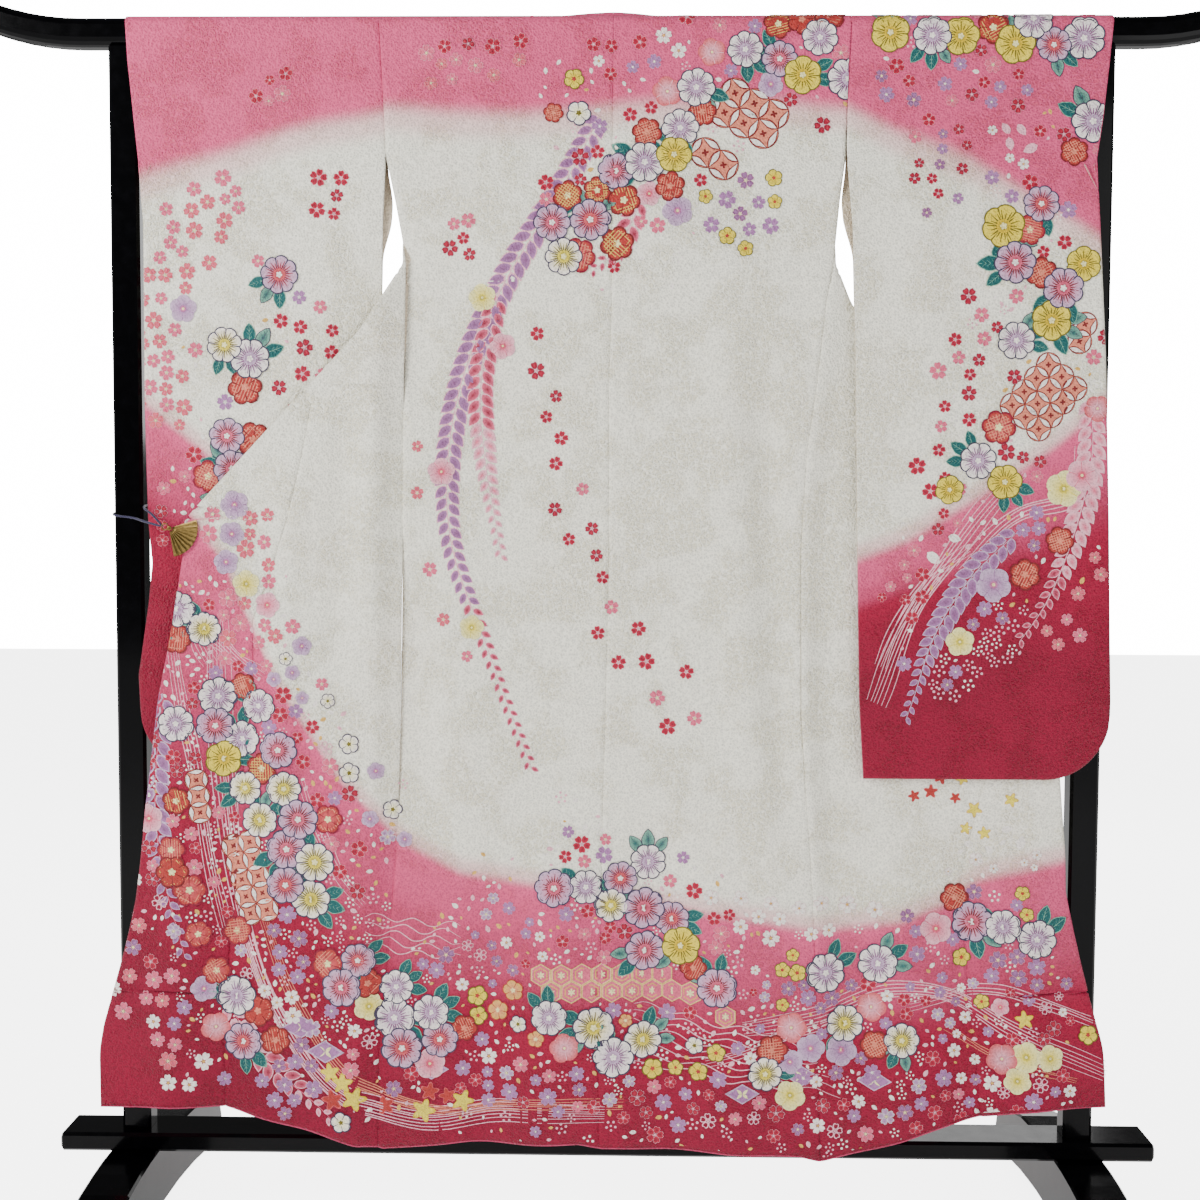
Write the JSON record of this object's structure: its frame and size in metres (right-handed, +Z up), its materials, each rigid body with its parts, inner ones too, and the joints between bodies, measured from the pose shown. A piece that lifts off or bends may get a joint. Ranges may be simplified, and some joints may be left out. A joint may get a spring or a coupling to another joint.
{
  "type": "furisode kimono on a kimono stand",
  "caption": "Long-sleeved silk kimono spread with its back to the viewer over the bar of a low-footed lacquered stand, one front drawn aside by a fan clip.",
  "frame": {"origin": "on the floor, midway between the stand's feet", "axes": "+X to the right along the bar as the garment's back is faced, +Y away from that viewer (the wearer's front), +Z up"},
  "size_m": [1.78, 0.6, 1.7186],
  "materials": {
    "figured_silk": "ivory figured silk crepe, shaded to dusty pink at the shoulders and crimson at the hem",
    "black_lacquer": "wood under gloss black lacquer",
    "antique_brass": "darkened brass",
    "silk_cord": "navy silk cord"
  },
  "bodies": {
    "root": {"body_left": "figured_silk", "body_right": "figured_silk", "okumi_left": "figured_silk", "okumi_right": "figured_silk", "sleeve_left": "figured_silk", "sleeve_right": "figured_silk", "collar": "figured_silk", "stand_top_bar": "black_lacquer", "stand_post_left": "black_lacquer", "stand_post_right": "black_lacquer", "stand_base_beam": "black_lacquer", "stand_foot_left": "black_lacquer", "stand_foot_right": "black_lacquer", "fan_clip": "antique_brass", "clip_cord": "silk_cord"}
  },
  "joints": []
}
